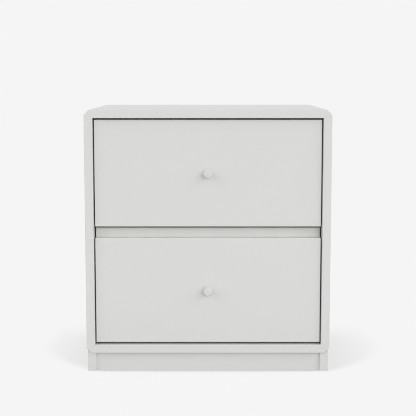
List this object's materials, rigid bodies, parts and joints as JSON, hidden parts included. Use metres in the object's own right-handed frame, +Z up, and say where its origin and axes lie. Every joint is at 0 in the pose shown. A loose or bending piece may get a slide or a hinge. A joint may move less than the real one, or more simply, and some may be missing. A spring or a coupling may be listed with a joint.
{
  "type": "nightstand",
  "caption": "Bedside cabinet: a bevelled, mitred carcass on a low plinth, with inset drawers that slide on telescopic ball runners and open by small round knobs.",
  "frame": {"origin": "on the floor, under the middle of the box round the whole object, knobs included", "axes": "+Z up, front with the knobs towards -Y, +X to the right seen from the front"},
  "size_m": [0.468, 0.39, 0.504],
  "materials": {
    "lacquer": "light warm-grey satin lacquer on fibreboard",
    "knob_lacquer": "light warm-grey satin lacquer on a turned knob",
    "inner_board": "matt light-grey coated board",
    "beech": "bare beech",
    "rail_steel": "zinc-plated cold-rolled steel",
    "cage_steel": "thin pressed steel strip",
    "ball_steel": "polished ball steel",
    "screw_steel": "zinc-plated",
    "stop_rubber": "matt black rubber"
  },
  "bodies": {
    "carcass": {"top_board": "lacquer", "bottom_board": "lacquer", "left_side_board": "lacquer", "right_side_board": "lacquer", "back_panel": "inner_board", "mitre_tongues": "beech", "plinth_left_board": "lacquer", "plinth_right_board": "lacquer", "plinth_front_board": "lacquer", "plinth_rear_board": "lacquer", "plinth_glue_blocks": "beech", "plinth_screws": "screw_steel", "lower_left_fixed_rail": "rail_steel", "lower_right_fixed_rail": "rail_steel", "lower_runner_screws": "screw_steel", "lower_runner_stops": "stop_rubber", "upper_left_fixed_rail": "rail_steel", "upper_right_fixed_rail": "rail_steel", "upper_runner_screws": "screw_steel", "upper_runner_stops": "stop_rubber"},
    "lower_drawer": {"lower_drawer_front": "lacquer", "lower_inner_front": "lacquer", "lower_left_box_side": "inner_board", "lower_right_box_side": "inner_board", "lower_box_back": "inner_board", "lower_box_bottom": "inner_board", "lower_box_dowels": "beech", "lower_knob": "knob_lacquer", "lower_knob_screw": "screw_steel", "lower_front_screws": "screw_steel", "lower_left_drawer_rail": "rail_steel", "lower_right_drawer_rail": "rail_steel", "lower_drawer_rail_screws": "screw_steel"},
    "lower_middle_rails": {"lower_left_middle_rail": "rail_steel", "lower_right_middle_rail": "rail_steel"},
    "lower_outer_cages": {"lower_outer_ball_cages": "cage_steel", "lower_outer_balls": "ball_steel"},
    "lower_inner_cages": {"lower_inner_ball_cages": "cage_steel", "lower_inner_balls": "ball_steel"},
    "upper_drawer": {"upper_drawer_front": "lacquer", "upper_inner_front": "lacquer", "upper_left_box_side": "inner_board", "upper_right_box_side": "inner_board", "upper_box_back": "inner_board", "upper_box_bottom": "inner_board", "upper_box_dowels": "beech", "upper_knob": "knob_lacquer", "upper_knob_screw": "screw_steel", "upper_front_screws": "screw_steel", "upper_left_drawer_rail": "rail_steel", "upper_right_drawer_rail": "rail_steel", "upper_drawer_rail_screws": "screw_steel"},
    "upper_middle_rails": {"upper_left_middle_rail": "rail_steel", "upper_right_middle_rail": "rail_steel"},
    "upper_outer_cages": {"upper_outer_ball_cages": "cage_steel", "upper_outer_balls": "ball_steel"},
    "upper_inner_cages": {"upper_inner_ball_cages": "cage_steel", "upper_inner_balls": "ball_steel"}
  },
  "joints": [
    {"name": "lower_drawer_slide", "type": "slide", "parent": "carcass", "child": "lower_drawer", "axis": [0, -1, 0], "range_m": [0, 0.3]},
    {"name": "lower_middle_rails_slide", "type": "slide", "parent": "carcass", "child": "lower_middle_rails", "axis": [0, -1, 0], "range_m": [0, 0.15]},
    {"name": "lower_outer_cages_slide", "type": "slide", "parent": "carcass", "child": "lower_outer_cages", "axis": [0, -1, 0], "range_m": [0, 0.075]},
    {"name": "lower_inner_cages_slide", "type": "slide", "parent": "carcass", "child": "lower_inner_cages", "axis": [0, -1, 0], "range_m": [0, 0.225]},
    {"name": "upper_drawer_slide", "type": "slide", "parent": "carcass", "child": "upper_drawer", "axis": [0, -1, 0], "range_m": [0, 0.3]},
    {"name": "upper_middle_rails_slide", "type": "slide", "parent": "carcass", "child": "upper_middle_rails", "axis": [0, -1, 0], "range_m": [0, 0.15]},
    {"name": "upper_outer_cages_slide", "type": "slide", "parent": "carcass", "child": "upper_outer_cages", "axis": [0, -1, 0], "range_m": [0, 0.075]},
    {"name": "upper_inner_cages_slide", "type": "slide", "parent": "carcass", "child": "upper_inner_cages", "axis": [0, -1, 0], "range_m": [0, 0.225]}
  ],
  "couplings": [
    {"joint": "lower_middle_rails_slide", "follows": "lower_drawer_slide", "ratio": 0.5},
    {"joint": "lower_outer_cages_slide", "follows": "lower_drawer_slide", "ratio": 0.25},
    {"joint": "lower_inner_cages_slide", "follows": "lower_drawer_slide", "ratio": 0.75},
    {"joint": "upper_middle_rails_slide", "follows": "upper_drawer_slide", "ratio": 0.5},
    {"joint": "upper_outer_cages_slide", "follows": "upper_drawer_slide", "ratio": 0.25},
    {"joint": "upper_inner_cages_slide", "follows": "upper_drawer_slide", "ratio": 0.75}
  ]
}
